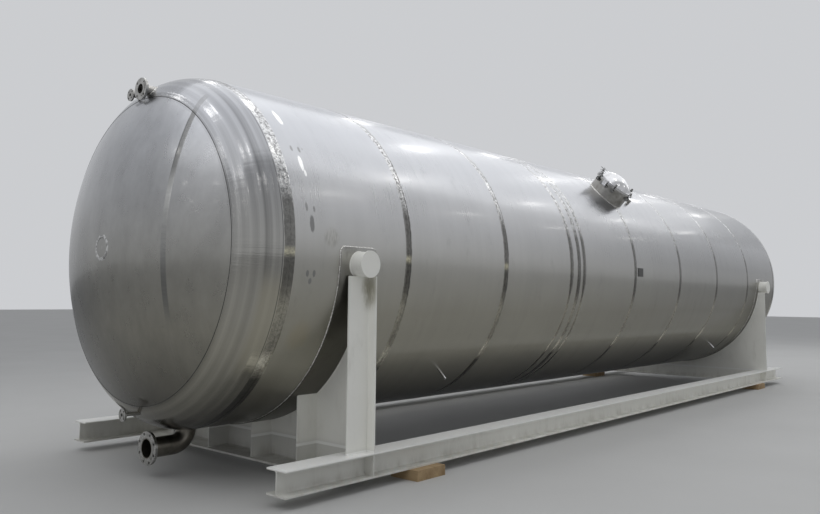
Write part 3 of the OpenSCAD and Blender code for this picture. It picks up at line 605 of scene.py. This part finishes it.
# Drain. A stub, a bend and a short pipe of stainless steel, butt welded to each other. They hang
# under the first course, and are darker and browner than the other pipes.
DRAIN_PALE, DRAIN_DARK = (0.24, 0.225, 0.195), (0.13, 0.12, 0.10)
drain_finish = Finish("dark_drain_pipe")
scuff = drain_finish.noise(9, 4, (1, 1, 1), 0.6)
drain_finish.set(Base_Color=scuff.fade(0.35, 0.75).mix(DRAIN_PALE, DRAIN_DARK), Roughness=0.26 + scuff * 0.2)
drain_finish.bump(scuff * 0.4)
drain_finish.wear_by("drain_pipe", "drain_elbow", "drain_stub")


# Flanges. Stainless rings, turned on a lathe so that fine grooves run round their faces, drilled,
# slipped over their pipes and welded.
FLANGE_PALE, FLANGE_DARK = (0.46, 0.455, 0.44), (0.28, 0.275, 0.26)
turned = Finish("turned_flange")
lathe = turned.noise(220, 2, (1, 0.2, 0.2))
scuff = turned.noise(18, 4)
turned.set(Base_Color=scuff.fade(0.35, 0.75).mix(FLANGE_PALE, FLANGE_DARK), Roughness=0.20 + scuff * 0.16)
turned.bump(lathe * 0.15)
turned.wear_by("vent_flange", "small_flanges", "drain_flange", "manway_flange")


# Manway cover. A dished stainless cover with a handle, polished bright and held down by the
# swing bolts. The two short rods welded low on the shell are as bright.
COVER_PALE, COVER_DARK = (0.66, 0.66, 0.67), (0.50, 0.50, 0.50)
polished = Finish("polished_cover")
scuff = polished.noise(14, 4, (1, 1, 1), 0.6)
polished.set(Base_Color=scuff.fade(0.35, 0.75).mix(COVER_PALE, COVER_DARK), Roughness=0.12 + scuff * 0.12)
polished.bump(scuff * 0.3)
polished.wear_by("manway_cover", "cover_handle", "underside_rods")


# Swing bolts and ears. Ears cut from plate are welded to the manway's neck, and the bolts turn
# on pins in them. All are dull and dark beside the cover.
BOLT_DARK, BOLT_PALE = (0.16, 0.16, 0.16), (0.36, 0.36, 0.35)
bolting = Finish("dull_bolt")
scuff = bolting.noise(40, 4)
bolting.set(Base_Color=scuff.mix(BOLT_DARK, BOLT_PALE), Roughness=0.32 + scuff * 0.2)
bolting.wear_by("manway_lugs", "swing_bolts")


# Bare plate. A small plate of dark, dull steel with nothing on it. It lies flat against the near
# side of the fifth course.
DARK_LOW, DARK_HIGH = (0.10, 0.10, 0.098), (0.16, 0.16, 0.155)
dark = Finish("dark_plate")
scuff = dark.noise(30, 4)
dark.set(Base_Color=scuff.mix(DARK_LOW, DARK_HIGH), Roughness=0.45 + scuff * 0.2)
dark.wear_by("bare_plate")


# Floor and light. A plain pale floor and backdrop, rows of round lamps under a roof, and one
# wide soft lamp over the whole tank.
FLOOR_PALE, FLOOR_DARK = (0.52, 0.52, 0.51), (0.47, 0.47, 0.46)
bpy.ops.object.select_all(action="DESELECT")
bpy.ops.mesh.primitive_plane_add(size=160, location=(0, 0, 0))
floor = bpy.context.object
floor.name = "floor"
concrete = Finish("pale_floor", metallic=0.0)
speck = concrete.noise(0.6, 5)
concrete.set(Base_Color=speck.mix(FLOOR_PALE, FLOOR_DARK), Roughness=0.6 + speck * 0.2)
floor.data.materials.append(concrete.material)

world = bpy.data.worlds.new("room")
bpy.context.scene.world = world
world.use_nodes = True
sky = Shade(world.node_tree)
LIGHT_OF_ROOM, BACKDROP = (0.44, 0.45, 0.47), (0.60, 0.61, 0.63)
camera_ray, glossy_ray, clear_ray = (
    sky.node("LightPath", out=kind) for kind in ("Is Camera Ray", "Is Glossy Ray", "Is Transmission Ray"))
backdrop = camera_ray.most(glossy_ray).most(clear_ray).mix(LIGHT_OF_ROOM, BACKDROP)
world.node_tree.links.new(backdrop.socket, world.node_tree.nodes["Background"].inputs["Color"])

# The lamps' rows run along the tank, and this is their step, their first place and their number
LAMP_STEP = 5.0
LAMP_FIRST = -28.3
LAMPS_A_ROW = 10
LAMP_ROWS = (4.0, 0.5, -3.7, -7.2)
LAMP_HEIGHT = 8.0
for row in LAMP_ROWS:
    for k in range(LAMPS_A_ROW):
        lamp = bpy.data.lights.new("lamp", "AREA")
        lamp.shape = "DISK"
        lamp.size = 0.7
        lamp.energy = 7
        lamp.color = (1.0, 0.98, 0.95)
        holder = bpy.data.objects.new("lamp", lamp)
        holder.location = (LAMP_FIRST + k * LAMP_STEP, row, LAMP_HEIGHT)
        bpy.context.scene.collection.objects.link(holder)

soft = bpy.data.lights.new("soft_lamp", "AREA")
soft.shape = "RECTANGLE"
soft.size, soft.size_y = 36, 9
soft.energy = 700
soft.color = (0.97, 0.98, 1.0)
holder = bpy.data.objects.new("soft_lamp", soft)
holder.location = (1, -0.5, 8.6)
bpy.context.scene.collection.objects.link(holder)


# Camera. A standing view from the front left, at the photograph's angle. It was fitted to the
# seams and rails, in a picture of 820 by 514 pixels.
EYE = (-9.6062, -5.9053, 1.5143)
YAW, PITCH, ROLL = 41.40, 4.43, 0.55
FOCAL_PX, CENTRE_ROW = 755.6, 240.7
IMAGE_W, IMAGE_H = 820, 514
camera = bpy.data.cameras.new("camera")
camera.sensor_width = 36
camera.lens = FOCAL_PX / IMAGE_W * camera.sensor_width
camera.shift_y = (CENTRE_ROW - IMAGE_H / 2) / IMAGE_W
camera.clip_end = 300
viewer = bpy.data.objects.new("camera", camera)
viewer.location = EYE
turn = Matrix.Rotation(math.radians(YAW - 90), 4, "Z") @ Matrix.Rotation(math.radians(90 + PITCH), 4, "X")
viewer.rotation_euler = (turn @ Matrix.Rotation(math.radians(ROLL), 4, "Z")).to_euler()
bpy.context.scene.collection.objects.link(viewer)
bpy.context.scene.camera = viewer

bpy.context.scene.view_settings.view_transform = "Standard"
